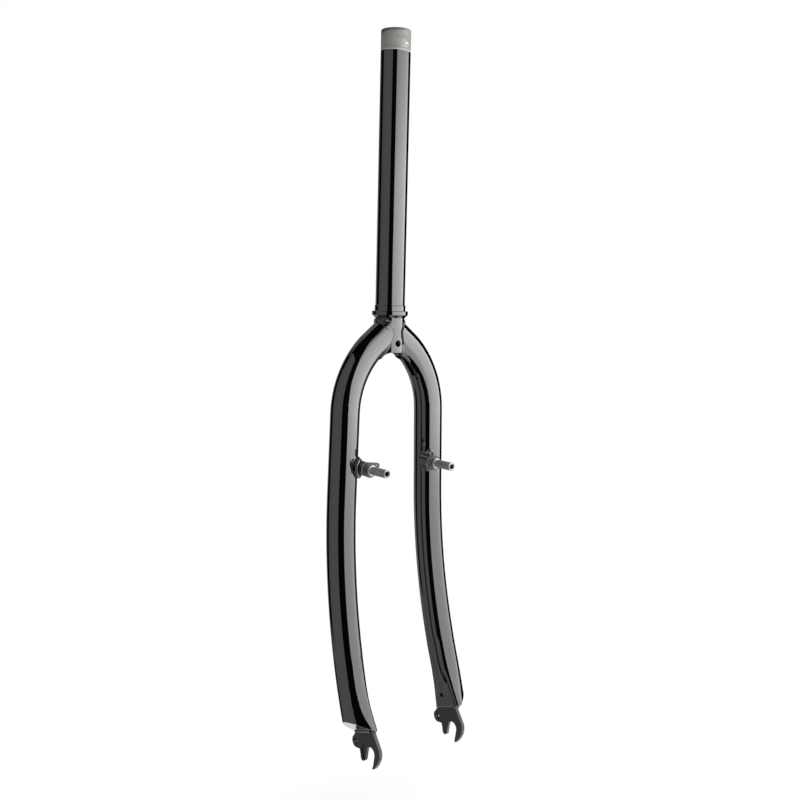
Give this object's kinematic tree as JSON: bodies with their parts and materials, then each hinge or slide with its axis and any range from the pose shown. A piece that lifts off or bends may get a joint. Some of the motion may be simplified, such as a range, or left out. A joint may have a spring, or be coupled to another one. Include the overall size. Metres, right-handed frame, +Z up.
{
  "type": "mountain bike fork",
  "caption": "Rigid bicycle fork with raked blades welded to a plain steerer, rim brake studs and open axle dropouts.",
  "frame": {"origin": "centre of the crown race's shoulder, on the steerer's axis", "axes": "+Z up the steerer, -Y forward towards the axle, +X to the rider's left"},
  "size_m": [0.146, 0.0849, 0.695],
  "materials": {
    "gloss_paint": "gloss black",
    "bare_steel": "turned, bare",
    "satin_paint": "satin black"
  },
  "bodies": {
    "root": {"steerer_tube": "gloss_paint", "crown_race_seat": "gloss_paint", "left_blade": "gloss_paint", "right_blade": "gloss_paint", "left_crown_weld": "gloss_paint", "right_crown_weld": "gloss_paint", "left_brake_boss": "gloss_paint", "right_brake_boss": "gloss_paint", "left_boss_weld": "gloss_paint", "right_boss_weld": "gloss_paint", "left_brake_stud": "bare_steel", "right_brake_stud": "bare_steel", "left_spring_plate": "bare_steel", "right_spring_plate": "bare_steel", "left_dropout": "satin_paint", "right_dropout": "satin_paint", "left_dropout_weld": "satin_paint", "right_dropout_weld": "satin_paint"}
  },
  "joints": []
}
